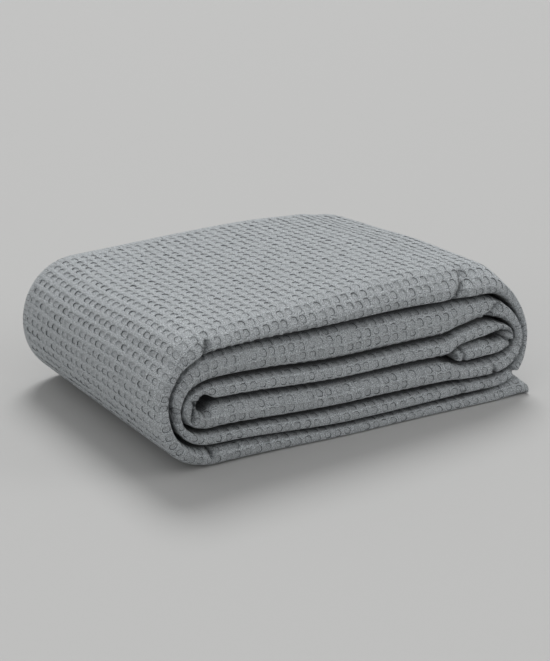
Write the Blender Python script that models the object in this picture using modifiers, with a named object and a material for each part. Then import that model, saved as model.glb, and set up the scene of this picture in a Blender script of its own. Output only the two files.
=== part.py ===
# Waffle weave cotton blanket, folded lengthwise into a strip of six plies and then
# rolled up flat.  One cloth: the long strip winds from its tucked-in end in the middle
# of the bundle out to the free end that lies on the floor at the right front corner.
#
# Metres, +Z up.  X runs along the bundle, Y from the front edge (where the turns show)
# to the back edge with the hems, and the origin is the middle of the footprint.
import bpy
import numpy as np

MM = 0.001

# The strip: six plies, its fold at the front edge and its hems at the back.
STRIP_WIDTH = 262 * MM
CLOTH_THICKNESS = 2.4 * MM      # where nothing presses on it
PLY_GAP = 0.7 * MM              # air between two plies
CLOTH_SHARE = 0.7               # of a ply's room, which cloth fills where it is pressed
LAYER_GAP = 0.7 * MM            # air that each layer keeps to its side of a shared line
PLIES = 6

# The bundle.  The turns at both ends start at the first and last of these stations
# along X, and the tucked-in end of the cloth lies at the last but one.
STATIONS = np.array((58, 200, 303, 323, 350)) * MM
STEPS_BETWEEN = (2, 2, 1, 1)
FREE_END = 392 * MM             # end that lies on the floor
BUNDLE_HEIGHT = 122 * MM

# Thickness of each layer at those stations, in millimetres, from the floor up.  The
# tail is the short inner end of the cloth, and lies only at the right.
LAYERS = (
    # name            left  middle  before_tail  tail  right
    ("outer_bottom",    20,     12,          12,   12,    12),
    ("middle_bottom",   14,     16,          14,   13,    12),
    ("inner_bottom",    28,     25,          24,   16,    17),
    ("tail",             0,      0,           0,   17,    19),
    ("inner_top",       18,     18,          19,   15,    16),
    ("middle_top",      28,     34,          32,   28,    23),
    ("outer_top",       13,     19,          22,   22,    20),
)

# The turns in the order in which the strip is wound, from the tail outwards: the two
# layers that each one joins, how far its inner and outer side reach along X, and how
# far the loop inside it stands open, in millimetres.
TURNS = (
    # side      from             to               inside  outside  loop
    ("right", "tail",          "inner_top",          371,     384,    8),
    ("left",  "inner_top",     "inner_bottom",        42,      26,   24),
    ("right", "inner_bottom",  "middle_top",         386,     394,    0),
    ("left",  "middle_top",    "middle_bottom",       24,      14,    0),
    ("right", "middle_bottom", "outer_top",          396,     405,    0),
    ("left",  "outer_top",     "outer_bottom",        12,       0,    0),
)
TURN_STEPS = 8
BEND_POINTS = 321               # fine points from which a turn's rings are picked
END_STEPS = 3                   # from the last station to the free end

# The roll is a little skewed: towards the right the lower layers stand forward.
SKEW = 36 * MM
# The pile is a little lower at its back right corner, but for the layer on the floor.
BACK_SAG = 0.10
SAG_FROM_HEIGHT = 20 * MM
SAG_FROM_DEPTH = 0.55           # as a share of the strip's width; all plies bend here

# Folds of the strip, as shares of its half thickness or of the bend.
FOLD_STEPS = (8, 4, 2)          # outer, middle and inner ply at the front edge
BACK_STEPS = 2
LIP_SQUARENESS = 0.8            # below 1 the front fold is fuller than an ellipse
LIP_DEPTH = 0.85                # depth of the front fold to its half height


def smooth_line(x, places, values):
    """Value at x of a line through values at places that never overshoots them."""
    secants = np.diff(values) / np.diff(places)
    slopes = np.zeros(len(places))
    for i in range(1, len(places) - 1):
        if secants[i - 1] * secants[i] > 0:
            slopes[i] = 2 / (1 / secants[i - 1] + 1 / secants[i])
    x = min(max(x, places[0]), places[-1])
    i = min(int(np.searchsorted(places, x, side="right")) - 1, len(places) - 2)
    span = places[i + 1] - places[i]
    t = (x - places[i]) / span
    start = (1 + 2 * t) * (1 - t) ** 2 * values[i] + t * (1 - t) ** 2 * span * slopes[i]
    end = t * t * (3 - 2 * t) * values[i + 1] + t * t * (t - 1) * span * slopes[i + 1]
    return start + end


def layer_faces(name, x):
    """Heights of the under and upper side of a layer at x."""
    height = 0.0
    for row in LAYERS:
        thickness = max(smooth_line(x, STATIONS, np.array(row[1:]) * MM), 0.0)
        if row[0] == name:
            return height + LAYER_GAP, height + thickness - LAYER_GAP
        height += thickness
    raise ValueError(name)


def is_bottom(name):
    """Whether a layer is the lower half of its turn."""
    return name.endswith("bottom") or name == "tail"


def ring_places(steps_between, stations):
    """Places of a run's rings along X, the same for all layers."""
    places = [stations[0]]
    for steps, start, end in zip(steps_between, stations[:-1], stations[1:]):
        places += [start + (end - start) * (step + 1) / steps for step in range(steps)]
    return places


def layer_ring(name, x):
    """Inner and outer point, in XZ, of the strip where a layer crosses x."""
    under, upper = layer_faces(name, x)
    if is_bottom(name):
        return np.array((x, upper)), np.array((x, under))
    return np.array((x, under)), np.array((x, upper))


def bend(start, end, reach, loop):
    """Points of the curve from start to end that swings out along X to reach."""
    t = np.linspace(0, 1, BEND_POINTS)[:, None]
    handle = (reach - (start[0] + end[0]) / 2) / 0.75
    up = np.sign(start[1] - end[1]) * loop
    out = start + np.array((handle, up))
    back = end + np.array((handle, -up))
    return ((1 - t) ** 3 * start + 3 * (1 - t) ** 2 * t * out
            + 3 * (1 - t) * t * t * back + t ** 3 * end)


def turn_rings(start, end, inside, outside, loop):
    """Rings of one turn: each outer point with the nearest point of the inner side."""
    inner = bend(start[0], end[0], inside * MM, loop * MM)
    outer = bend(start[1], end[1], outside * MM, 0.0)
    rings = [start]
    for step in range(1, TURN_STEPS):
        point = outer[step * (BEND_POINTS - 1) // TURN_STEPS]
        nearest = np.argmin(np.linalg.norm(inner - point, axis=1))
        rings.append((inner[nearest], point))
    return rings


def winding():
    """All rings of the strip, from the tail to the free end, as inner and outer points."""
    left_to_right = ring_places(STEPS_BETWEEN, STATIONS)
    rings = []
    for side, start_layer, end_layer, inside, outside, loop in TURNS:
        run = left_to_right if is_bottom(start_layer) else left_to_right[::-1]
        if start_layer == "tail":
            run = run[-2:]
        bend_x = run[-1]
        rings += [layer_ring(start_layer, x) for x in run[:-1]]
        start = layer_ring(start_layer, bend_x)
        end = layer_ring(end_layer, bend_x)
        rings += turn_rings(start, end, inside, outside, loop)
    last_layer = TURNS[-1][2]
    to_end = ring_places((END_STEPS,), (STATIONS[-1], FREE_END))
    rings += [layer_ring(last_layer, x) for x in left_to_right[:-1] + to_end]
    return rings


def arc(centre, depth, half_height, start, end, steps):
    """Points of a full, rounded fold between two angles; 0 points to the back."""
    angles = np.linspace(start, end, steps + 1)
    across = np.cos(angles)
    up = np.sin(angles)
    y = centre + depth * np.sign(across) * np.abs(across) ** LIP_SQUARENESS
    z = half_height * np.sign(up) * np.abs(up) ** LIP_SQUARENESS
    return list(zip(y, z))


def ply_section(half, thickness):
    """Middle line of the cloth across the strip, hem to hem, as (y, level) points."""
    top = half - thickness / 2
    middle = top * 3 / (PLIES - 1)
    inner = top / (PLIES - 1)
    nest = thickness + PLY_GAP
    lip = LIP_DEPTH * half + 2 * nest
    back = STRIP_WIDTH - thickness / 2
    turn = (top - middle) / 2
    front = thickness / 2 + lip
    knee = STRIP_WIDTH * SAG_FROM_DEPTH
    quarter = np.pi / 2
    line = [(back - 2 * nest, -top), (knee, -top)]
    line += arc(front, lip, top, -quarter, -3 * quarter, FOLD_STEPS[0])
    line += [(knee, top)]
    line += [(y, z + (top + middle) / 2)
             for y, z in arc(back - turn, turn, turn, quarter, -quarter, BACK_STEPS)]
    line += [(knee, middle)]
    line += arc(front, lip - nest, middle, quarter, 3 * quarter, FOLD_STEPS[1])
    line += [(knee, -middle)]
    line += [(y, z - (middle + inner) / 2)
             for y, z in arc(back - turn - nest, turn, turn, -quarter, quarter, BACK_STEPS)]
    line += [(knee, -inner)]
    line += arc(front, lip - 2 * nest, inner, -quarter, -3 * quarter, FOLD_STEPS[2])
    line += [(knee, inner), (back - 3 * nest, inner)]
    return line


def place(x, y, z):
    """Lay a point of the straight winding into the slightly skewed and sagging bundle."""
    right = max(x / STATIONS[-1], 0.0)
    low = min(max(1 - z / BUNDLE_HEIGHT, 0.0), 1.0)
    back = max(y / STRIP_WIDTH - SAG_FROM_DEPTH, 0.0) / (1 - SAG_FROM_DEPTH)
    sag = BACK_SAG * right ** 2 * back * max(z - SAG_FROM_HEIGHT, 0.0)
    return x, y - SKEW * right * low, z - sag


def build_cloth():
    """The cloth as an open sheet that Solidify gives its thickness."""
    points = []
    weights = []
    rings = winding()
    middles = np.array([(inner + outer) / 2 for inner, outer in rings])
    courses = np.gradient(middles, axis=0)
    for (inner, outer), middle, course in zip(rings, middles, courses):
        across = outer - inner
        depth = np.linalg.norm(across)
        normal = across / depth
        # Where the ring stands aslant to the course of the strip, the plies are closer.
        square = abs(course[0] * normal[1] - course[1] * normal[0]) / np.linalg.norm(course)
        room = depth * square / PLIES
        thickness = min(CLOTH_THICKNESS, max(room - PLY_GAP, CLOTH_SHARE * room))
        section = ply_section(depth / 2, thickness)
        for y, level in section:
            x, z = middle + normal * level
            points.append(place(x, y, z))
            weights.append(thickness / CLOTH_THICKNESS)
    faces = []
    columns = len(section)
    for ring in range(len(rings) - 1):
        goes_right = rings[ring + 1][1][0] > rings[ring][1][0]
        for column in range(columns - 1):
            a = ring * columns + column
            b, c, d = a + 1, a + columns + 1, a + columns
            # All plies are split along the same diagonal, so that they stay parallel.
            goes_back = section[column + 1][0] > section[column][0]
            if goes_right == goes_back:
                faces += [(a, b, c), (a, c, d)]
            else:
                faces += [(a, b, d), (b, c, d)]
    mesh = bpy.data.meshes.new("blanket")
    mesh.from_pydata(points, [], faces)
    mesh.update()
    blanket = bpy.data.objects.new("blanket", mesh)
    group = blanket.vertex_groups.new(name="thickness")
    for index, weight in enumerate(weights):
        group.add((index,), weight, "REPLACE")
    return blanket


def cotton():
    """Mid grey cotton, matt."""
    material = bpy.data.materials.new("grey waffle cotton")
    material.use_nodes = True
    shader = material.node_tree.nodes["Principled BSDF"]
    shader.inputs["Base Color"].default_value = (0.19, 0.21, 0.22, 1.0)
    shader.inputs["Roughness"].default_value = 0.9
    shader.inputs["Metallic"].default_value = 0.0
    return material


def rest_on_origin(blanket):
    """Move the blanket so that the middle of its footprint is the origin."""
    bpy.context.view_layer.update()
    evaluated = blanket.evaluated_get(bpy.context.evaluated_depsgraph_get())
    corners = np.array([vertex.co for vertex in evaluated.data.vertices])
    low = corners.min(axis=0)
    high = corners.max(axis=0)
    blanket.location = (-(low[0] + high[0]) / 2, -(low[1] + high[1]) / 2, -low[2])


def main():
    for thing in list(bpy.data.objects):
        bpy.data.objects.remove(thing, do_unlink=True)
    collection = bpy.data.collections.new("waffle weave blanket")
    bpy.context.scene.collection.children.link(collection)
    blanket = build_cloth()
    collection.objects.link(blanket)
    blanket.data.materials.append(cotton())
    solid = blanket.modifiers.new("thickness", "SOLIDIFY")
    solid.thickness = CLOTH_THICKNESS
    solid.offset = 0.0
    solid.vertex_group = "thickness"
    blanket.data.shade_smooth()
    rest_on_origin(blanket)


main()
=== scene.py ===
# Grey cotton blanket in waffle weave, folded lengthwise into six plies and rolled up flat.
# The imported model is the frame.  The cloth is wound here again with the same sizes, but
# finely enough to carry its weave, and it takes the plain solid's place.
import math

import bpy
import numpy as np
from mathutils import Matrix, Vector


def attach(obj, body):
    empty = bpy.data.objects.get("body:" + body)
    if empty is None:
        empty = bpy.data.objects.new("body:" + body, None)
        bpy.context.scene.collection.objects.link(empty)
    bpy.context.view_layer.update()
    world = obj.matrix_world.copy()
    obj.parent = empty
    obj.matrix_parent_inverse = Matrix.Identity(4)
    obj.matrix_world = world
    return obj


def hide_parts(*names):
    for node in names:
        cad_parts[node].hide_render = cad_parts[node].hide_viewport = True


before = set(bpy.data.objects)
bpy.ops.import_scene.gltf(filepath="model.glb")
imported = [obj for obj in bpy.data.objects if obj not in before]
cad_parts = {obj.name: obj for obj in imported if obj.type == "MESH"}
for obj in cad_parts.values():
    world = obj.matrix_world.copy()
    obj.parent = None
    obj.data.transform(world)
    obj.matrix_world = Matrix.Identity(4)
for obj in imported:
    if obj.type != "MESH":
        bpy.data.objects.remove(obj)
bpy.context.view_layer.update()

mm = 0.001      # sizes below are in millimetres, and vertices in metres
tiny = 1e-6     # for rounding errors

# The cloth and how it is folded.
cloth = {
    "width": 1540,          # as cut
    "length": 2490,
    "thickness": 2.4,       # where nothing presses on it
    "cell": 10.0,           # one square of the weave, ridge to ridge
    "hem": 9.0,             # plain band at both short ends
}
strip = {
    "width": 262,           # front fold to back folds
    "plies": 6,             # plyLine folds just so many
    "plyGap": 0.7,
    "clothShare": 0.7,      # of a ply's room, which cloth fills where it is pressed
    "hemTip": 0.4,          # how far a hem's rounded edge stands out, in thicknesses
    "lipDepth": 0.85,       # front fold's depth, in half heights of the strip
    "lipFlatter": 0.55,     # how much less that is in the turns
    "lipDroop": 0.45,       # how much deeper it is above, and shallower below
    "lipPowers": ((0.42, 0.42), (0.78, 0.78), (0.75, 0.75)),    # its roundness to the back and
                            # upwards, in turns, layers and the top one; 1 is an ellipse
    "lipUnloaded": (95, 110),       # heights between which nothing presses on it any more
    "lipLow": 0.45,         # how far its foremost part lies low there, in half heights
    "lipRoll": 0.65,        # how much deeper it is rounded
    "lipOverhang": 3.5,     # and how far its upper side stands forward
    "crown": 6.5,           # how much higher the top lies behind it
    "crownRise": (-5, 21),  # depths between which it rises
    "crownFall": (30, 170),     # and sinks again
    "lipSlot": 2.4,         # how far it stays under the plies behind it, where it is pressed
    "slotDepth": (14, 38),  # depths between which the lip's own shape ends
}
bundle = {
    "stations": (58, 200, 303, 323, 350),   # places along X for the layers below
    "freeEnd": 389,
    "freePuff": 10,         # how much thicker its loose tip is
    "puffRise": (-34, -14),     # from the end, where that sets in
    "puffFall": (-9, 1),    # and where most of it goes again
    "puffFallShare": 0.9,
    "tuckedEnd": 316,
    "height": 122,
    "layerGap": 0.7,
    "skew": 36,             # how far the lowest layer stands forward at the right
    "backSag": 0.10,        # how much lower the back right lies, as a share
    "sagFromHeight": 20,
    "sagFromDepth": 0.45,   # as a share of the strip's width
    "sagCurve": 1.3,
    "middle": (202.5, 111.7, 0.7),  # the frame's origin in these sizes
}
layers = {  # thickness at the stations, from the floor up
    "outerBottom": (20, 12, 12, 12, 12),
    "middleBottom": (14, 16, 14, 13, 12),
    "innerBottom": (28, 25, 24, 16, 17),
    "tail": (0, 0, 0, 17, 19),
    "innerTop": (18, 18, 19, 15, 16),
    "middleTop": (28, 34, 32, 28, 23),
    "outerTop": (13, 19, 22, 22, 20),
}
turns = (  # from, to, reach of the inner and outer side along X, how far its loop is open
    ("tail", "innerTop", 371, 385, 8),
    ("innerTop", "innerBottom", 42, 25, 24),
    ("innerBottom", "middleTop", 386, 395, 0),
    ("middleTop", "middleBottom", 24, 13, 0),
    ("middleBottom", "outerTop", 396, 404, 0),
    ("outerTop", "outerBottom", 12, 0, 0),
)
fineness = {
    "runStep": 3.0,         # first sampling of the layers and turns
    "turnSteps": 60,
    "turnSearch": 600,      # finer steps, to find which points of a turn lie opposite
    "turnEven": 0.2,        # how evenly its inner side is divided all the same
    "softening": 2.0,       # rounds the joints between layers and turns
    "softenReach": 4,       # how many times as far that looks
    "arcPoints": 25,
    "lipSeen": 15.0,        # depth behind the front edge that gets the raised weave
    "flatTurning": 0.03,    # of the strip over one square, in radians
    "tightTurning": 0.12,
    "sharpTurning": 0.35,
    "wovenLips": (24, 30),  # squares across the cloth that can show on the front fold
    "decimals": 3,          # to which rows are rounded, so that equal ones are found
}


def smoothStep(low, high, x):
    t = np.clip((x - low) / (high - low), 0, 1)
    return t * t * (3 - 2 * t)


def smoothLine(x, places, values):
    places, values = np.array(places, float), np.array(values, float)
    secants = np.diff(values) / np.diff(places)
    slopes = np.zeros(len(places))
    for i in range(1, len(places) - 1):
        if secants[i - 1] * secants[i] > 0:
            slopes[i] = 2 / (1 / secants[i - 1] + 1 / secants[i])
    x = np.clip(x, places[0], places[-1])
    i = np.clip(np.searchsorted(places, x, side="right") - 1, 0, len(places) - 2)
    span = places[i + 1] - places[i]
    t = (x - places[i]) / span
    start = (1 + 2 * t) * (1 - t) ** 2 * values[i] + t * (1 - t) ** 2 * span * slopes[i]
    end = t * t * (3 - 2 * t) * values[i + 1] + t * t * (t - 1) * span * slopes[i + 1]
    return start + end


def isBottom(name):
    return name.endswith("Bottom") or name == "tail"


def puffed(x):
    # how much thicker the loose free end is than the layer behind it
    rise, fall = [smoothStep(*(bundle["freeEnd"] + np.array(bundle[name])), x)
                  for name in ("puffRise", "puffFall")]
    return bundle["freePuff"] * (rise - bundle["puffFallShare"] * fall)


def layerSides(name, x):
    # inner and outer side of the strip, in XZ, where a layer crosses x
    height = np.zeros(len(x))
    for other, thicknesses in layers.items():
        thickness = smoothLine(x, bundle["stations"], thicknesses)
        if other == name:
            break
        height = height + thickness
    under = np.stack((x, height + bundle["layerGap"]), axis=1)
    top = height + thickness - bundle["layerGap"]
    upper = np.stack((x, top + puffed(x) if name == "outerBottom" else top), axis=1)
    return (upper, under) if isBottom(name) else (under, upper)


handleReach = 0.75      # how far a curve with two equal handles swings out, in handles


def bend(start, end, reach, loop, t):
    # curve in XZ that swings out along X to reach
    handle = (reach - (start[0] + end[0]) / 2) / handleReach
    up = np.sign(start[1] - end[1]) * loop
    out = start + np.array((handle, up))
    back = end + np.array((handle, -up))
    t = t[:, None]
    return ((1 - t) ** 3 * start + 3 * (1 - t) ** 2 * t * out
            + 3 * (1 - t) * t * t * back + t ** 3 * end)


def turnSides(start, end, inside, outside, loop):
    t = np.linspace(0, 1, fineness["turnSteps"] + 1)
    fine = np.linspace(0, 1, fineness["turnSearch"] + 1)
    outer = bend(start[1], end[1], outside, 0, t)
    inner = bend(start[0], end[0], inside, loop, fine)
    nearest = np.array([fine[np.argmin(np.linalg.norm(inner - p, axis=1))] for p in outer])
    nearest[0], nearest[-1] = 0, 1
    even = fineness["turnEven"]
    spread = (1 - even) * nearest + even * t    # never lets two rows share a point
    return bend(start[0], end[0], inside, loop, spread)[1:-1], outer[1:-1]


def windStrip():
    # the strip's inner and outer side from the tucked-in tail to the free end
    stations = bundle["stations"]
    inner, outer, marks = [], [], {}
    count = 0

    def add(name, sides):
        nonlocal count
        inner.append(sides[0])
        outer.append(sides[1])
        marks[name] = (count, count + len(sides[0]) - 1)
        count += len(sides[0])

    def run(name, first, last):
        steps = max(int(abs(last - first) / fineness["runStep"]), 2)
        add(name, layerSides(name, np.linspace(first, last, steps + 1)))

    for number, (fromLayer, toLayer, inside, outside, loop) in enumerate(turns):
        goesRight = isBottom(fromLayer)
        first, last = (stations[0], stations[-1]) if goesRight else (stations[-1], stations[0])
        run(fromLayer, bundle["tuckedEnd"] if fromLayer == "tail" else first, last)
        place = np.array([float(last)])
        start = [side[0] for side in layerSides(fromLayer, place)]
        end = [side[0] for side in layerSides(toLayer, place)]
        add("turn%d" % number, turnSides(start, end, inside, outside, loop))
    run("outerBottom", stations[0], bundle["freeEnd"])
    inner, outer = np.concatenate(inner), np.concatenate(outer)
    along = np.concatenate(((0,), np.cumsum(np.linalg.norm(np.diff(outer, axis=0), axis=1))))
    marks = {name: (along[a], along[b]) for name, (a, b) in marks.items()}
    return along, inner, outer, marks


def soften(along, line):
    # resample to one point a millimetre and round off corners
    fine = np.arange(0, along[-1], 1.0)
    points = np.stack([np.interp(fine, along, line[:, k]) for k in range(2)], axis=1)
    width = fineness["softening"]
    reach = int(fineness["softenReach"] * width)
    weights = np.exp(-0.5 * (np.arange(-reach, reach + 1) / width) ** 2)
    weights /= weights.sum()
    before = 2 * points[0] - points[reach:0:-1]
    after = 2 * points[-1] - points[-2:-reach - 2:-1]
    padded = np.concatenate((before, points, after))
    return fine, np.stack([np.convolve(padded[:, k], weights, "valid") for k in range(2)], axis=1)


def foldArc(centre, depth, halfHeight, start, end, powers=(1.0, 1.0)):
    # depth is one number, or two for the sides below and above
    angles = np.linspace(start, end, fineness["arcPoints"])
    across, up = np.cos(angles), np.sin(angles)
    below, above = np.broadcast_to(depth, 2)
    depths = np.where(up > 0, above, below)
    y = centre + (depths - below) + depths * np.sign(across) * np.abs(across) ** powers[0]
    z = halfHeight * np.sign(up) * np.abs(up) ** powers[1]
    return np.stack((y, z), axis=1)


straightSteps = np.array((0, 0.02, 0.3, 0.7, 0.98, 1.0))    # a straight ply's points


def plyLine(half, thickness, lean, pressed):
    # middle line of the cloth across the strip, hem to hem, in pieces of (y, level); lean is
    # 1 where its outside lies on top and -1 below, pressed is 0 where nothing lies on it
    top = half - thickness / 2      # levels of the plies, above and below the strip's middle
    middle = top * 3 / (strip["plies"] - 1)
    inner = top / (strip["plies"] - 1)
    nest = thickness + strip["plyGap"]
    droop = strip["lipDroop"] * lean * np.array((-1, 1))
    inTurn, inLayer, onTop = [np.array(pair) for pair in strip["lipPowers"]]
    powers = inTurn + (inLayer - inTurn) * abs(lean)
    powers += (onTop - powers) * (1 - pressed) * max(lean, 0)
    bulge = strip["lipDepth"] * half * (1 - strip["lipFlatter"] * (1 - abs(lean)))
    bulge *= 1 + strip["lipRoll"] * (1 - pressed) * max(lean, 0)
    lip = bulge * (1 + droop) + 2 * nest      # below and above
    back = strip["width"] - thickness / 2
    turn = (top - middle) / 2
    below, above = thickness / 2 + lip
    quarter = math.pi / 2
    upper = np.array((0, (top + middle) / 2))
    lower = np.array((0, -(middle + inner) / 2))

    def straight(y0, y1, level):
        y = y0 + (y1 - y0) * straightSteps
        return np.stack((y, np.full(len(y), float(level))), axis=1)

    pieces = [straight(back - 2 * nest, below, -top)]
    pieces.append(foldArc(below, lip, top, -quarter, -3 * quarter, powers))
    pieces.append(straight(above, back - turn, top))
    pieces.append(foldArc(back - turn, turn, turn, quarter, -quarter) + upper)
    pieces.append(straight(back - turn, above, middle))
    pieces.append(foldArc(below, lip - nest, middle, quarter, 3 * quarter, powers))
    pieces.append(straight(below, back - turn - nest, -middle))
    pieces.append(foldArc(back - turn - nest, turn, turn, -quarter, quarter) + lower)
    pieces.append(straight(back - turn - nest, below, -inner))
    pieces.append(foldArc(below, lip - 2 * nest, inner, -quarter, -3 * quarter, powers))
    pieces.append(straight(above, back - 3 * nest, inner))
    return pieces


# Columns of points round the closed section, apart from the outer ply's outside, as
# (piece of the ply line, shares of its length).  One list for each side of the cloth.
foldShares = (0.12, 0.31, 0.5, 0.69, 0.88)
smallShares = (0.1, 0.5, 0.9)
plyShares = (0.1, 0.9)
sideColumns = {
    "outside": ((3, smallShares), (4, plyShares), (5, foldShares), (6, plyShares),
                (7, smallShares), (8, plyShares), (9, smallShares), (10, (0.1, 0.5, 1.0))),
    "inside": ((10, (1.0, 0.5, 0.1)), (9, smallShares[::-1]), (8, plyShares[::-1]),
               (7, smallShares[::-1]), (6, plyShares[::-1]), (5, foldShares[::-1]),
               (4, plyShares[::-1]), (3, smallShares[::-1]), (2, (0.9, 0.5, 0.1)),
               (1, (0.94, 0.8, 0.65, 0.5, 0.35, 0.2, 0.06)), (0, (0.9, 0.5, 0.0))),
}
hemShares = (1.0, 0.55)     # outside of the lowest ply, from the hem forward
outerPieces = 3             # of the ply line, in the outer ply: below, lip and top


def lengths(points):
    return np.concatenate(((0,), np.cumsum(np.linalg.norm(np.diff(points, axis=0), axis=1))))


def shapeLip(side, half, lean, pressed):
    # rounds one side of the cloth where nothing lies on the front fold, and flattens it else
    front = 1 - smoothStep(*strip["slotDepth"], side[:, 0])
    free = (1 - pressed) * max(lean, 0)
    share = np.clip(side[:, 1] / half, -1, 1)
    side[:, 0] -= strip["lipOverhang"] * free * front * (1 + share) / 2
    side[:, 1] -= strip["lipLow"] * half * free * front * (1 - share ** 2)
    crown = smoothStep(*strip["crownRise"], side[:, 0])
    crown *= 1 - smoothStep(*strip["crownFall"], side[:, 0])
    side[:, 1] += strip["crown"] * free * crown * np.maximum(share, 0)
    slot = strip["lipSlot"] / half * front
    side[:, 1] *= 1 - slot * np.where(side[:, 1] > 0, pressed * (1 + lean) / 2, (1 - lean) / 2)


def sectionPoints(half, thickness, lean, pressed, wovenPlaces):
    # (y, level, place across the cloth) of every column of one ring; pressed is 0 where
    # nothing lies on the strip's outer side
    pieces = plyLine(half, thickness, lean, pressed)
    line = np.concatenate([piece[:-1] for piece in pieces[:-1]] + [pieces[-1]])
    starts = np.concatenate(((0,), np.cumsum([len(piece) - 1 for piece in pieces])))
    course = np.gradient(line, axis=0)
    course /= np.linalg.norm(course, axis=1)[:, None]
    normal = np.stack((-course[:, 1], course[:, 0]), axis=1)
    midLength = lengths(line)
    sides = {"outside": line + normal * thickness / 2, "inside": line - normal * thickness / 2}
    for side in sides.values():
        shapeLip(side, half, lean, pressed)

    # The outside from the back fold forward, down over the lip and back to the hem.
    backFold = starts[outerPieces]
    outside = sides["outside"][:backFold + 1][::-1]
    first = strip["width"] - outside[0][0]
    across = first + lengths(outside)
    hemPlaces = wovenPlaces[-1] + (across[-1] - wovenPlaces[-1]) * np.array(hemShares)
    places = np.concatenate((hemPlaces, wovenPlaces[::-1]))
    rows = [np.stack((np.interp(places, across, outside[:, 0]),
                      np.interp(places, across, outside[:, 1]), places), axis=1)]
    # The rest of the section; its place across the cloth runs on from the back fold.
    onward = first + midLength[backFold]
    tip = thickness * strip["hemTip"]
    for side in ("outside", "inside"):
        for piece, shares in sideColumns[side]:
            lo, hi = starts[piece], starts[piece + 1]
            local = midLength[lo:hi + 1]
            at = local[0] + (local[-1] - local[0]) * np.array(shares)
            y = np.interp(at, local, sides[side][lo:hi + 1, 0])
            level = np.interp(at, local, sides[side][lo:hi + 1, 1])
            rows.append(np.stack((y, level, onward - at), axis=1))
        if side == "outside":
            rows.append(np.append(line[-1] + course[-1] * tip, onward - midLength[-1])[None])
    rows.append(np.append(line[0] - course[0] * tip, onward)[None])
    return np.concatenate(rows)


def layInBundle(x, y, z):
    # the straight winding as it lies: a little skewed, and lower at the back right
    right = np.maximum(x / bundle["stations"][-1], 0)
    low = np.clip(1 - z / bundle["height"], 0, 1)
    back = np.maximum(y / strip["width"] - bundle["sagFromDepth"], 0) / (1 - bundle["sagFromDepth"])
    sag = bundle["backSag"] * right ** 2 * back ** bundle["sagCurve"]
    sag = sag * np.maximum(z - bundle["sagFromHeight"], 0)
    return np.stack((x, y - bundle["skew"] * right * low, z - sag), axis=-1)


# Ledges, notches and swellings at the front edge: where along the strip, from and to in X and
# Z, half width, how deep (swellings are below 0), how much of it goes down and not back, and
# how far it reaches on the right of that line compared with the left.
creases = (
    ("turn5", (43, 103), (51, 118), 1.8, 8.0, 0.2, 1.2),        # left end of the top lip
    ("turn5", (40, 104), (22, 88), 9.0, -2.5, 0.0, 1.0),        # left round's lip beside it
    ("turn5", (6, 52), (24, 18), 10.0, -3.0, 0.0, 1.0),
    ("turn3", (20, 48), (38, 32), 8.0, -2.5, 0.0, 1.0),
    ("turn3", (13, 72), (18, 52), 1.6, 6.0, 0.0, 1.0),
    ("turn1", (38, 64), (36, 47), 1.8, 9.0, 0.0, 1.0),
    ("turn5", (52, 24), (52, 12), 2.0, 8.0, 0.0, 1.0),
    ("outerTop", (338, 121), (314, 99), 2.6, 8.0, 0.3, 2.5),    # tucks at the right
    ("middleTop", (371, 86), (352, 76), 2.0, 8.0, 0.0, 2.0),
    ("turn2", (371, 86), (352, 76), 2.0, 8.0, 0.0, 2.0),
    ("turn0", (363, 62), (380, 51), 1.5, 7.0, 0.0, 1.0),
    ("turn0", (368, 63), (381, 60), 1.5, 6.0, 0.0, 1.0),
    ("innerBottom", (349, 43), (357, 25), 1.8, 9.0, 0.0, 0.6),
    ("turn2", (349, 43), (357, 25), 1.8, 9.0, 0.0, 0.6),
    ("middleBottom", (317, 27), (317, 18), 3.0, 10.0, 0.0, 1.0),
    ("middleBottom", (370, 34), (381, 19), 2.2, 9.0, 0.0, 1.0),
    ("turn4", (370, 34), (381, 19), 2.2, 9.0, 0.0, 1.0),
    ("tail", (322, 57), (325, 37), 1.6, 9.0, 0.0, 1.0),         # curl at the tucked-in end
    ("turn4", (398, 84), (399, 46), 26.0, 4.5, 0.0, 1.0),       # right round, drawn back
    ("outerTop", (398, 84), (399, 46), 26.0, 4.5, 0.0, 1.0),
    ("middleBottom", (398, 84), (399, 46), 26.0, 4.5, 0.0, 1.0),
)
frontEdge = {
    "forward": 0.66,        # how far the lips wander to and fro
    "wanderings": ((23, 0, 0.5), (37, 1.7, 1), (61, 0, 1)),     # length, start and strength
    "fade": 70,             # depth over which that dies out
    "near": 16,             # squares this near to a crease get their middle rows too
    "pastEnds": 5,          # and this far past the ends of its stretch
    "frontFade": (7, 32),   # depths where the troughs begin and cease to fade
    "shadeWidth": 0.9,      # of the painted shade along a crease's bottom, as a share of its width
    "broad": 5,             # half width from which a trough gets no painted shade
}


def lineDistance(x, z, start, end):
    # from a line in XZ, and whether a point lies on its right
    runX, runZ = end[0] - start[0], end[1] - start[1]
    share = np.clip(((x - start[0]) * runX + (z - start[1]) * runZ) / (runX ** 2 + runZ ** 2), 0, 1)
    offX, offZ = x - start[0] - share * runX, z - start[1] - share * runZ
    return np.hypot(offX, offZ), offX > 0


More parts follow.
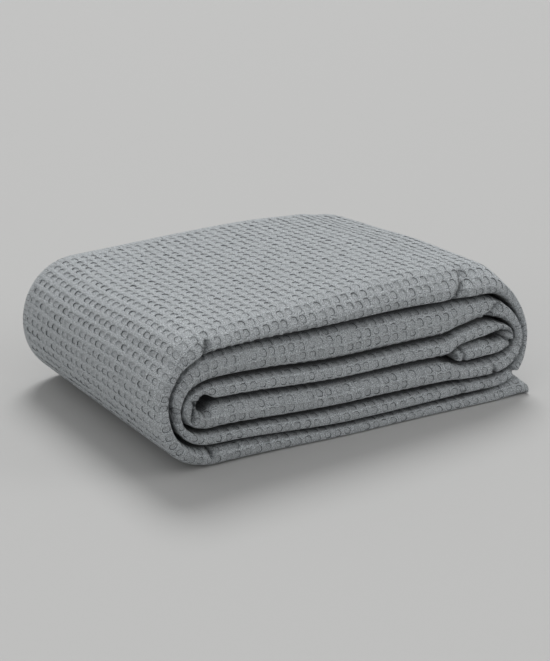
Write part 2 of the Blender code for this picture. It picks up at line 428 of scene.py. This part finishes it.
def unsettle(rows, marks, x, y, z):
    # the front edge's creases, its wandering from layer to layer and the shade painted into the
    # creases
    stretch = rows[:, None]
    wander = sum(strength * np.sin(stretch / length + start)
                 for length, start, strength in frontEdge["wanderings"])
    fade = 1 - smoothStep(0, frontEdge["fade"], y)
    back, down = frontEdge["forward"] * wander * fade, np.zeros_like(z)
    near = 1 - smoothStep(*frontEdge["frontFade"], y)
    shade = np.zeros_like(z)
    for name, start, end, width, depth, drop, rightward in creases:
        mine = (stretch >= marks[name][0]) & (stretch <= marks[name][1])
        off, isRight = lineDistance(x, z, start, end)
        reach = np.where(isRight, width * rightward, width)
        trough = mine * near * depth * np.exp(-(off / reach) ** 2)
        back = back + trough * (1 - drop)
        down = down + trough * drop
        # painted shade: a dark line along the bottom of narrow creases
        if depth > 0 and width < frontEdge["broad"]:
            dark = mine * near * np.exp(-(off / width / frontEdge["shadeWidth"]) ** 2)
            shade = np.maximum(shade, dark)
    return y + back, z - down, shade


class Winding:
    def __init__(self):
        along, inner, outer, self.marks = windStrip()
        self.fine, self.inner = soften(along, inner)
        self.fine, self.outer = soften(along, outer)
        self.length = self.fine[-1]

    def ring(self, u):
        inner = np.stack([np.interp(u, self.fine, self.inner[:, k]) for k in range(2)], axis=-1)
        outer = np.stack([np.interp(u, self.fine, self.outer[:, k]) for k in range(2)], axis=-1)
        return inner, outer

    def frameAt(self, u):
        inner, outer = self.ring(u)
        ahead, behind = self.ring(u + 1), self.ring(u - 1)
        course = (ahead[0] + ahead[1] - behind[0] - behind[1]) / 4
        depth = np.linalg.norm(outer - inner, axis=-1)
        normal = (outer - inner) / depth[..., None]
        square = np.abs(course[..., 0] * normal[..., 1] - course[..., 1] * normal[..., 0])
        square /= np.linalg.norm(course, axis=-1)
        return (inner + outer) / 2, normal, depth, square

    def turning(self, number):
        # how far the strip turns over one square, in radians
        cell = cloth["cell"]
        ends = np.array((number * cell, min((number + 1) * cell, self.length)))
        normals = self.frameAt(ends)[1]
        return math.acos(min(float(normals[0] @ normals[1]), 1.0))

    def isBent(self, number):
        # whether a square turns sharply or has a crease near it
        place = np.array(((number + 0.5) * cloth["cell"],))
        x, z = self.frameAt(place)[0][0]
        past = frontEdge["pastEnds"]
        near = [name for name, start, end, *_ in creases
                if self.marks[name][0] - past <= place[0] <= self.marks[name][1] + past
                and lineDistance(x, z, start, end)[0] < frontEdge["near"]]
        return self.turning(number) > fineness["sharpTurning"] or bool(near)


# The weave: squares of raised ridges with a sunken pocket in each.
weave = {
    "depth": 0.85,          # pocket's floor under its rim
    "ridge": 0.15,          # how far a ridge's middle stands over the rims
    "onLips": 0.7,          # how much of that is left where the front fold stretches it
    "rounding": 0.12,       # how far a pocket's corners are drawn in, as a share
    "unlikeDepth": 0.35,    # chance differences between squares, as shares of the depth
    "unlikePlace": (0.35, 0.8),     # and in place, on top and on lips
    "drift": 0.8,           # slow drift of rows and columns
    "rowDrift": (33, 71, 1.3),      # its lengths across and along, and how much that bends it
    "columnDrift": (47, 58, 2),     # its lengths along and across, and its start
    "facing": (-0.5, 0.2),  # how much a lip has to face forward to carry its weave
    "gapDepth": (4, 13),    # behind the edges, where painted shade darkens the gaps between layers
    "gapEnd": (50, 20),     # before the loose end, where that painted shade ends
    "seed": 11,
    "squares": (300, 40),   # along and across, enough for the whole cloth
}
# Where a square's points lie along and across the strip, as shares of it: ridge, pocket's
# rim, its floor from side to side, and its rim again.  The pockets are longer across it.
# The middle of the floor is kept where the cloth bends sharply.
alongSteps = np.array((0.0, 0.16, 0.24, 0.5, 0.76, 0.84))
acrossSteps = np.array((0.0, 0.09, 0.17, 0.5, 0.83, 0.91))
pocketStep = np.array((0, 0, 1, 1, 1, 0))
middleStep = 3
creaseSteps = np.array((0, 0.25, 0.5, 0.75))    # where nothing is raised near a crease


def cellPlace(place, steps):
    # number of the square that a place lies in, and its nearest row of points there
    number = np.floor(place / cloth["cell"] + tiny)
    share = place / cloth["cell"] - number
    step = np.argmin(np.abs(share[:, None] - steps[None, :]), axis=1)
    return number.astype(int), step


def relief(rows, places, shown, onTop):
    # height of the weave and sideways shifts of each point, in rows and woven columns
    rowCell, rowStep = cellPlace(rows, alongSteps)
    columnCell, columnStep = cellPlace(places, acrossSteps)
    chance = np.random.default_rng(weave["seed"]).uniform(-1, 1, weave["squares"] + (3,))
    unlike = chance[np.ix_(rowCell, columnCell)]
    pocket = np.outer(pocketStep[rowStep], pocketStep[columnStep]) * shown
    ridge = np.maximum((rowStep == 0)[:, None], (columnStep == 0)[None, :]) * shown
    inside = shown * ~((rowStep == 0)[:, None] | (columnStep == 0)[None, :])
    depth = weave["depth"] * (1 + weave["unlikeDepth"] * unlike[..., 0])
    raised = weave["ridge"] * ridge - depth * pocket
    raised = raised * np.where(onTop, 1, weave["onLips"])
    unlikePlace = np.where(onTop, *weave["unlikePlace"])
    # Corners are drawn in towards the square's middle, so that the pockets are round.
    ahead = (alongSteps[rowStep][:, None] - 0.5) * cloth["cell"]
    aside = (acrossSteps[columnStep][None, :] - 0.5) * cloth["cell"]
    corner = (2 * ahead * aside / np.maximum(ahead ** 2 + aside ** 2, tiny)) ** 2
    along = inside * (unlikePlace * unlike[..., 1] - weave["rounding"] * corner * ahead)
    across = inside * (unlikePlace * unlike[..., 2] - weave["rounding"] * corner * aside)
    acrossLength, alongLength, bending = weave["rowDrift"]
    swing = bending * np.sin(rows / alongLength)[:, None]
    along = along + weave["drift"] * np.sin(places / acrossLength + swing)
    alongLength, acrossLength, begin = weave["columnDrift"]
    swing = np.sin(rows / alongLength + begin)[:, None]
    across = across + weave["drift"] * swing * np.cos(places / acrossLength)
    return raised, along, across


def plainRows(winding, firstCell, lastCell):
    # rows on the grid of squares where nothing shows: close in turns, sparse on the flat
    cell = cloth["cell"]
    places = []
    for number in range(firstCell, lastCell):
        turning = winding.turning(number)
        if turning > fineness["flatTurning"] or number % 2 == 0:
            places.append(number * cell)
        if turning > fineness["tightTurning"]:
            places.append((number + 0.5) * cell)
    return places


def unit(vectors):
    return vectors / np.linalg.norm(vectors, axis=-1, keepdims=True)


def patchRows(winding, start, end):
    # rows of one stretch of the strip, and which are plain, the weave's or added in creases
    cell = cloth["cell"]
    firstCell, lastCell = int(start / cell + tiny), int(end / cell + tiny)
    plain = [u for u in plainRows(winding, firstCell, lastCell + 1) if start < u < end]
    cells = np.arange(firstCell, lastCell + 1)
    bent = np.array([number for number in cells if winding.isBent(number)])
    woven = (cells[:, None] + np.delete(alongSteps, middleStep)).ravel()
    woven = np.concatenate((woven, bent + alongSteps[middleStep]))
    creased = (bent[:, None] + creaseSteps).ravel()
    kinds = [np.array([start] + plain + [end]), woven * cell, creased * cell]
    kinds = [np.round(kind[(kind >= start) & (kind <= end)], fineness["decimals"])
             for kind in kinds]
    rows = np.unique(np.concatenate(kinds))
    return rows, [np.isin(rows, kind) for kind in kinds]


def laySheet(winding, rows, places):
    # points of one stretch in rows and columns, with their depth behind the front edge, level
    # in the strip, place across the cloth and the shade painted into the creases there
    middle, normal, depth, square = winding.frameAt(rows)
    room = depth * square / strip["plies"]
    thickness = np.maximum(room - strip["plyGap"], strip["clothShare"] * room)
    thickness = np.minimum(thickness, cloth["thickness"])
    pressed = 1 - smoothStep(*strip["lipUnloaded"], middle[:, 1])
    sections = np.array([sectionPoints(*numbers, places) for numbers
                         in zip(depth / 2, thickness, normal[:, 1], pressed)])
    y, level, across = sections[..., 0], sections[..., 1], sections[..., 2]
    x = middle[:, None, 0] + normal[:, None, 0] * level
    z = middle[:, None, 1] + normal[:, None, 1] * level
    moved, lowered, shade = unsettle(rows, winding.marks, x, y, z)
    return layInBundle(x, moved, lowered), y, level, across, shade


def squaresShown(rows, lying, seen, hemmed):
    # squares of the weave that show, by their number along and by woven column; none in hems
    rowCell, _ = cellPlace(rows, alongSteps)
    columnCell, _ = cellPlace(lying, acrossSteps)
    shows = np.zeros((rowCell[-1] + 2, len(lying)), bool)
    for number in np.unique(rowCell):
        if not hemmed[rowCell == number].any():
            shows[number] = seen[rowCell == number].all(axis=0)
    shows[rowCell[-1]:] = False
    for number in np.unique(columnCell):
        mine = columnCell == number
        shows[:, mine] = shows[:, mine].all(axis=1)[:, None] & (mine.sum() >= len(acrossSteps) - 1)
    return shows


def raiseWeave(sheet, rows, lying, shown, onTop, isUpper):
    # the woven columns' points with their weave, which is flat where layers touch
    raised, shiftAlong, shiftAcross = relief(rows, lying, shown, onTop)
    alongRows = unit(np.gradient(sheet, axis=0))
    alongColumns = unit(np.gradient(sheet, axis=1))
    outward = unit(np.cross(alongColumns, alongRows))
    facing = smoothStep(*weave["facing"], -outward[..., 1])
    raised = raised * np.where(isUpper, 1, facing)
    return (sheet + outward * raised[..., None] + alongRows * shiftAlong[..., None]
            - alongColumns * shiftAcross[..., None])


def layPatch(winding, start, end, places, topShows):
    # one stretch of the strip: its points in rows and columns, and which of them it keeps
    rows, (isPlain, isWoven, isCreased) = patchRows(winding, start, end)
    points, y, level, across, shade = laySheet(winding, rows, places)
    woven = slice(len(hemShares), len(hemShares) + len(places))
    lying = places[::-1]        # the columns run from the lip's end backwards
    isUpper = topShows & (level > 0)
    onTop = topShows & (lying < fineness["wovenLips"][0] * cloth["cell"])
    hemmed = (rows < cloth["hem"]) | (rows > winding.length - cloth["hem"] - cloth["cell"])
    seen = (y[:, woven] < fineness["lipSeen"]) | isUpper[:, woven]
    shows = squaresShown(rows, lying, seen, hemmed)
    rowCell, rowStep = cellPlace(rows, alongSteps)
    shown = shows[rowCell]
    points[:, woven] = raiseWeave(points[:, woven], rows, lying, shown, onTop, isUpper[:, woven])

    # Rows that each column keeps: the weave's rows in squares that show, else plain rows.
    keep = np.repeat(isPlain[:, None], points.shape[1], axis=1)
    ending = shows[np.maximum(rowCell - 1, 0)] & (isWoven & (rowStep == 0))[:, None]
    keep[:, woven] = np.where(shown, isWoven[:, None], (isPlain | isCreased)[:, None]) | ending
    keep[0] = keep[-1] = True
    drawn = np.repeat(~hemmed[:, None], points.shape[1], axis=1)
    drawn[:, woven] &= ~(shown | ending)
    # How deep between layers a point lies, away from both edges and from the loose end; with the
    # creases' shade, this sets how much painted shade darkens the colour there.
    paintedGapShade = smoothStep(*weave["gapDepth"], np.minimum(y, strip["width"] - y))
    paintedGapShade *= 1 - smoothStep(*(winding.length - np.array(weave["gapEnd"])), rows)[:, None]
    paintedGapShade = np.maximum(np.where(isUpper, 0, paintedGapShade), shade)
    return {"rows": rows, "points": points, "across": across, "keep": keep, "drawn": drawn,
            "paintedGapShade": paintedGapShade, "places": lying}


def zipUp(keysA, idsA, keysB, idsB, faces):
    # joins two lines of points, each sorted by its keys, with quads and triangles
    i = j = 0
    while i < len(idsA) - 1 or j < len(idsB) - 1:
        nextA = keysA[i + 1] if i < len(idsA) - 1 else math.inf
        nextB = keysB[j + 1] if j < len(idsB) - 1 else math.inf
        if abs(nextA - nextB) < tiny:
            corners = (idsA[i], idsB[j], idsB[j + 1], idsA[i + 1])
            i, j = i + 1, j + 1
        elif nextA < nextB:
            corners = (idsA[i], idsB[j], idsA[i + 1])
            i += 1
        else:
            corners = (idsA[i], idsB[j], idsB[j + 1])
            j += 1
        corners = list(dict.fromkeys(corners))
        if len(corners) > 2:
            faces.append(corners)


farKey = 1e4        # lies past every place across the cloth


def knit(patches):
    # one closed sheet from the patches, with its places in the weave and what each point tells
    points, places, told, faces, rings = [], [], [], [], []
    count = 0
    for patch in patches:
        ids = []
        for column in range(patch["points"].shape[1]):
            kept = np.flatnonzero(patch["keep"][:, column])
            points.append(patch["points"][kept, column])
            places.append(np.stack((patch["rows"][kept], patch["across"][kept, column]), axis=1))
            told.append(np.stack((patch["drawn"][kept, column], patch["paintedGapShade"][kept, column])))
            ids.append((patch["rows"][kept], range(count, count + len(kept))))
            count += len(kept)
        for one, other in zip(ids, ids[1:] + ids[:1]):
            zipUp(one[0], one[1], other[0], other[1], faces)
        # Order round the section: the hem's columns, the woven ones and then the others.
        lying = patch["places"]
        others = np.arange(len(ids) - len(hemShares) - len(lying))
        keys = (-farKey + np.arange(len(hemShares)), -lying, 1 + others, (farKey,))
        ends = [[column[1][end] for column in ids + ids[:1]] for end in (0, -1)]
        rings.append((np.concatenate(keys), ends, patch["across"], len(hemShares) + len(lying)))
    for before, after in zip(rings, rings[1:]):
        zipUp(after[0], after[1][0], before[0], before[1][1], faces)
    outsideOthers = sum(len(shares) for _, shares in sideColumns["outside"])
    for ring, end in ((rings[0], 0), (rings[-1], 1)):
        # Both sides of the cloth, from the hem at the tip of the lowest ply to the other one.
        ids, across = ring[1][end], ring[2][-end]
        tip = ring[3] + outsideOthers
        last = len(ids) - 2
        outside = [last] + list(range(tip + 1))
        inside = list(range(last, tip - 1, -1))
        lines = [(-across[line], [ids[column] for column in line]) for line in (outside, inside)]
        if end:
            lines.reverse()
        zipUp(*lines[0], *lines[1], faces)
    return (np.concatenate(points) * mm, faces, np.concatenate(places),
            np.concatenate(told, axis=1).astype(np.float32))


def weaveBlanket():
    winding = Winding()
    cell = cloth["cell"]
    firstWoven = math.ceil(winding.marks["middleBottom"][1] / cell) * cell
    lastWoven = math.floor(winding.marks["outerBottom"][0] / cell + 1) * cell
    # Woven columns: all squares where the top shows, but for the one in the back fold, and
    # else those of the front fold.
    lips = np.arange(*fineness["wovenLips"])[:, None] + acrossSteps
    top = np.arange(1, fineness["wovenLips"][0])[:, None] + np.delete(acrossSteps, middleStep)
    lips, top = (lips * cell).ravel(), (top * cell).ravel()
    whole = np.concatenate(((cell / 2,), top, lips))
    plain = np.concatenate(((cell / 2, lips[0] / 2), lips))
    join = alongSteps[1] * cell
    patches = [layPatch(winding, 0.0, firstWoven, plain, False),
               layPatch(winding, firstWoven + join, lastWoven, whole, True),
               layPatch(winding, lastWoven + join, winding.length, plain, False)]
    points, faces, places, told = knit(patches)
    points -= np.array(bundle["middle"]) * mm
    points[:, 2] = np.maximum(points[:, 2], 0)     # pressed flat on the floor
    mesh = bpy.data.meshes.new("blanketCloth")
    mesh.from_pydata(points, [], faces)
    mesh.update()
    corners = np.empty(len(mesh.loops), np.int32)
    mesh.loops.foreach_get("vertex_index", corners)
    uv = mesh.uv_layers.new(name="weave")
    uv.data.foreach_set("uv", (places[corners] / cell).astype(np.float32).ravel())
    for name, values in zip(("drawn", "paintedGapShade"), told):
        mesh.attributes.new(name, "FLOAT", "POINT").data.foreach_set("value", values)
    mesh.shade_smooth()
    blanket = bpy.data.objects.new("blanketCloth", mesh)
    bpy.context.scene.collection.objects.link(blanket)
    print("blanket: %d points, %d triangles, strip's outer side %.0f mm long"
          % (len(points), sum(len(face) - 2 for face in faces), winding.length))
    return blanket


def linear(hexColour):
    # sRGB hex to the linear colour that nodes take
    channels = [int(hexColour[i:i + 2], 16) / 255 for i in (1, 3, 5)]
    return tuple(c / 12.92 if c <= 0.04045 else ((c + 0.055) / 1.055) ** 2.4
                 for c in channels) + (1.0,)


def addNode(tree, kind, inputs=(), **settings):
    # adds a node; inputs maps its sockets to values, to other nodes' outputs or to nodes,
    # of which it takes the first output
    node = tree.nodes.new(kind)
    for name, value in settings.items():
        setattr(node, name, value)
    for socket, value in dict(inputs).items():
        if isinstance(value, bpy.types.Node):
            value = value.outputs[0]
        if isinstance(value, bpy.types.NodeSocket):
            tree.links.new(value, node.inputs[socket])
        else:
            node.inputs[socket].default_value = value
    return node


colourA, colourB, colourOut = 6, 7, 2   # a Mix node's sockets for colours

cotton = {
    "yarn": "#dfe4e7",          # grey yarn
    "yarnDark": "#71777b",      # and its darker fibres
    "paintedShadeColour": "#2c3033",       # painted shade where a pocket's wall meets its floor, between layers and in creases
    "gapShade": 0.85,           # how much of that painted shade shows between layers and in creases
    "pocket": (0.285, 0.38),    # half the floor's size along and across, as shares of a square
    "squareness": 4.0,          # of its outline; 2 is an ellipse
    "shake": 0.3,               # how uneven that outline is
    "shakeSize": 3.84615,       # mm, of its dents, 2.6 to a square
    "shakeDetail": 1.0,
    "shadeLineWidth": 0.17,       # of the painted shade line at the pocket's foot, as a share of that half size
    "shadeLineShown": (0.1, 1.0),     # least and most
    "shadeLineFrom": (0.4, 0.58),     # values of the noise that give the least and the most
    "shadeLineSize": 11.1111,     # mm, of the places where it shows or doesn't
    "shadeLineDetail": 2.0,
    "wall": (0.90, 1.13),       # the wall's foot and top
    "wallHeight": 0.8,          # mm
    "wallShare": 0.5,           # of that drawn on squares that are raised already
    "puckerSize": 22,           # mm, soft unevenness left by washing
    "puckerHeight": 3.0,        # mm
    "puckerDetail": 2.0,
    "roughness": 0.92,
    "sheen": 0.2,
    "sheenRoughness": 0.5,
    "threadSpacing": 1.00531,   # mm; real ones lie closer, too fine to show at this size
    "threadHeight": 0.10,       # mm
    "threadWave": {"Distortion": 1.5, "Detail": 1.0, "Detail Scale": 2.0},
    "fuzzSize": 1.0,            # mm, tufts of loose fibres; finer ones don't show at this size
    "fuzzHeight": 1.3,          # mm
    "fuzzNoise": {"Detail": 3.0, "Roughness": 0.65},
    "fuzzShown": (0.35, 0.65),  # values of the noise with the darkest and the lightest yarn
}


def drawPockets(tree, places):
    # a square's walls, and the broken line of painted shade along their foot
    split = addNode(tree, "ShaderNodeSeparateXYZ", {0: places})
    powers = []
    for place, half in zip(split.outputs, cotton["pocket"]):
        share = addNode(tree, "ShaderNodeMath", {0: place}, operation="FRACT")
        aside = addNode(tree, "ShaderNodeMath", {0: share, 1: 0.5}, operation="SUBTRACT")
        aside = addNode(tree, "ShaderNodeMath", {0: aside}, operation="ABSOLUTE")
        aside = addNode(tree, "ShaderNodeMath", {0: aside, 1: half}, operation="DIVIDE")
        powers.append(addNode(tree, "ShaderNodeMath", {0: aside, 1: cotton["squareness"]},
                              operation="POWER"))
    # Distance from the square's middle, 1 on the rounded square that its floor fills.
    total = addNode(tree, "ShaderNodeMath", {0: powers[0], 1: powers[1]}, operation="ADD")
    reach = addNode(tree, "ShaderNodeMath", {0: total, 1: 1 / cotton["squareness"]},
                    operation="POWER")
    shaky = addNode(tree, "ShaderNodeTexNoise",
                    {"Vector": places, "Scale": cloth["cell"] / cotton["shakeSize"],
                     "Detail": cotton["shakeDetail"]})
    shaky = addNode(tree, "ShaderNodeMath", {0: shaky, 1: 0.5}, operation="SUBTRACT")
    reach = addNode(tree, "ShaderNodeMath", {0: shaky, 1: cotton["shake"], 2: reach},
                    operation="MULTIPLY_ADD")
    foot, rim = cotton["wall"]
    wall = addNode(tree, "ShaderNodeMapRange", {"Value": reach, "From Min": foot, "From Max": rim},
                   interpolation_type="SMOOTHSTEP")
    off = addNode(tree, "ShaderNodeMath", {0: reach, 1: 1.0}, operation="SUBTRACT")
    off = addNode(tree, "ShaderNodeMath", {0: off}, operation="ABSOLUTE")
    # painted shade: a dark line along the foot of the pocket's wall
    line = addNode(tree, "ShaderNodeMapRange", {"Value": off, "From Max": cotton["shadeLineWidth"],
                                                "To Min": 1.0, "To Max": 0.0},
                   interpolation_type="SMOOTHSTEP")
    chance = addNode(tree, "ShaderNodeTexNoise",
                     {"Vector": places, "Scale": cloth["cell"] / cotton["shadeLineSize"],
                      "Detail": cotton["shadeLineDetail"]})
    (low, high), (least, most) = cotton["shadeLineFrom"], cotton["shadeLineShown"]
    broken = addNode(tree, "ShaderNodeMapRange", {"Value": chance, "From Min": low,
                                                  "From Max": high, "To Min": least,
                                                  "To Max": most})
    line = addNode(tree, "ShaderNodeMath", {0: line, 1: broken}, operation="MULTIPLY")
    return wall, line


waveRadians = 20    # that a wave texture runs through over one unit, at a scale of 1


def spinYarn(tree, places):
    # threads both ways, loose fibres, and the yarn's colour with them
    perSquare = cloth["cell"] / cotton["threadSpacing"]
    scale = perSquare * 2 * math.pi / waveRadians
    threads = [addNode(tree, "ShaderNodeTexWave",
                       {"Vector": places, "Scale": scale, **cotton["threadWave"]},
                       bands_direction=direction).outputs["Fac"] for direction in "XY"]
    threads = addNode(tree, "ShaderNodeMath", dict(enumerate(threads)), operation="ADD")
    fuzz = addNode(tree, "ShaderNodeTexNoise",
                   {"Vector": places, "Scale": cloth["cell"] / cotton["fuzzSize"],
                    **cotton["fuzzNoise"]})
    low, high = cotton["fuzzShown"]
    grain = addNode(tree, "ShaderNodeMapRange", {"Value": fuzz, "From Min": low, "From Max": high})
    yarn = addNode(tree, "ShaderNodeMix", {"Factor": grain, colourA: linear(cotton["yarnDark"]),
                                           colourB: linear(cotton["yarn"])}, data_type="RGBA")
    return threads, fuzz, yarn.outputs[colourOut]


def waffleCotton():
    # Cotton, yarn dyed grey, woven in a waffle weave and washed: dull, with a soft nap that
    # breaks the light up finely. Painted shade darkens the corner round each pocket's floor,
    # the gaps between layers and the creases.
    material = bpy.data.materials.new("washed waffle weave cotton")
    material.use_nodes = True
    tree = material.node_tree
    tree.nodes.clear()
    places = addNode(tree, "ShaderNodeUVMap", uv_map="weave")
    drawn, paintedGapShade = [addNode(tree, "ShaderNodeAttribute", attribute_name=name).outputs["Fac"]
                    for name in ("drawn", "paintedGapShade")]
    wall, line = drawPockets(tree, places)
    threads, fuzz, colour = spinYarn(tree, places)
    deep = addNode(tree, "ShaderNodeMath", {0: paintedGapShade, 1: cotton["gapShade"]}, operation="MULTIPLY")
    # Painted shade: the dark line at each pocket's foot, and the darkness between layers and in
    # creases
    for dark in (line, deep):
        colour = addNode(tree, "ShaderNodeMix", {"Factor": dark, colourA: colour,
                                                 colourB: linear(cotton["paintedShadeColour"])},
                         data_type="RGBA").outputs[colourOut]

    # The drawn wall stands fully where no square is raised, and sharpens the raised ones.
    least = cotton["wallShare"]
    share = addNode(tree, "ShaderNodeMath", {0: drawn, 1: 1 - least, 2: least},
                    operation="MULTIPLY_ADD")
    wall = addNode(tree, "ShaderNodeMath", {0: wall, 1: share}, operation="MULTIPLY")
    pucker = addNode(tree, "ShaderNodeTexNoise",
                     {"Vector": places, "Scale": cloth["cell"] / cotton["puckerSize"],
                      "Detail": cotton["puckerDetail"]})
    bumps = ((pucker, "puckerHeight"), (wall, "wallHeight"), (threads, "threadHeight"),
             (fuzz, "fuzzHeight"))
    under = {}
    for height, name in bumps:
        bump = addNode(tree, "ShaderNodeBump", {"Height": height, **under,
                                                "Distance": cotton[name] * mm})
        under = {"Normal": bump}
    shader = addNode(tree, "ShaderNodeBsdfPrincipled",
                     {"Base Color": colour, "Roughness": cotton["roughness"], **under,
                      "Sheen Weight": cotton["sheen"],
                      "Sheen Roughness": cotton["sheenRoughness"]})
    addNode(tree, "ShaderNodeOutputMaterial", {"Surface": shader})
    print("cotton: %d nodes" % len(tree.nodes))
    return material


blanket = weaveBlanket()
blanket.data.materials.append(waffleCotton())
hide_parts("blanket")
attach(blanket, "root")

studio = {
    "azimuth": -33.71,      # of the photograph, in degrees
    "elevation": 22.04,
    "place": (-0.8496, -1.262, 0.673),  # of the camera, in metres
    "lens": 92.6,
    "floor": "#b6b6b5",
    "floorSize": 16,        # metres
    "floorRoughness": 0.8,
    "sky": "#ffffff",
    "zenith": 0.62,         # brightness of the sky above, and at the horizon
    "horizon": 0.33,
    "key": (0.33, 0.56, 0.76),      # towards the light
    "keyStrength": 1.85,
    "keyWidth": 25,         # as seen from the blanket, in degrees
    "fill": (0.80, -0.50, 0.35),
    "fillStrength": 0.45,
    "fillWidth": 30,
    "side": (-0.9, -0.2, 0.12),
    "sideStrength": 0.5,
    "sideWidth": 60,
}


def makeCamera():
    camera = bpy.data.cameras.new("camera")
    camera.lens = studio["lens"]
    thing = bpy.data.objects.new("camera", camera)
    bpy.context.scene.collection.objects.link(thing)
    azimuth, elevation = math.radians(studio["azimuth"]), math.radians(studio["elevation"])
    level = math.cos(elevation)
    back = Vector((math.sin(azimuth) * level, -math.cos(azimuth) * level, math.sin(elevation)))
    thing.location = studio["place"]
    thing.rotation_euler = back.to_track_quat("Z", "Y").to_euler()
    bpy.context.scene.camera = thing


def makeLight(name, towards, strength, width):
    # a wide soft light a long way off
    light = bpy.data.lights.new(name, "SUN")
    light.energy = strength
    light.angle = math.radians(width)
    thing = bpy.data.objects.new(name, light)
    bpy.context.scene.collection.objects.link(thing)
    thing.rotation_euler = Vector(towards).to_track_quat("Z", "Y").to_euler()


def makeStudio():
    bpy.ops.mesh.primitive_plane_add(size=studio["floorSize"])
    floor = bpy.context.object
    floor.name = "floor"
    # Pale and dull, so that nothing but the blanket's soft shadow shows on it.
    material = bpy.data.materials.new("matt painted floor")
    material.use_nodes = True
    shader = material.node_tree.nodes["Principled BSDF"]
    shader.inputs["Base Color"].default_value = linear(studio["floor"])
    shader.inputs["Roughness"].default_value = studio["floorRoughness"]
    floor.data.materials.append(material)
    world = bpy.data.worlds.new("studio")
    bpy.context.scene.world = world
    world.use_nodes = True
    tree = world.node_tree
    way = addNode(tree, "ShaderNodeTexCoord").outputs["Generated"]
    height = addNode(tree, "ShaderNodeSeparateXYZ", {0: way}).outputs["Z"]
    brightness = addNode(tree, "ShaderNodeMapRange", {"Value": height, "To Min": studio["horizon"],
                                                      "To Max": studio["zenith"]})
    background = tree.nodes["Background"]
    background.inputs["Color"].default_value = linear(studio["sky"])
    tree.links.new(brightness.outputs[0], background.inputs["Strength"])
    for name in ("key", "fill", "side"):
        makeLight(name, studio[name], studio[name + "Strength"], studio[name + "Width"])
    bpy.context.scene.view_settings.view_transform = "Standard"
    print("studio: floor, sky and three lights")


makeCamera()
makeStudio()
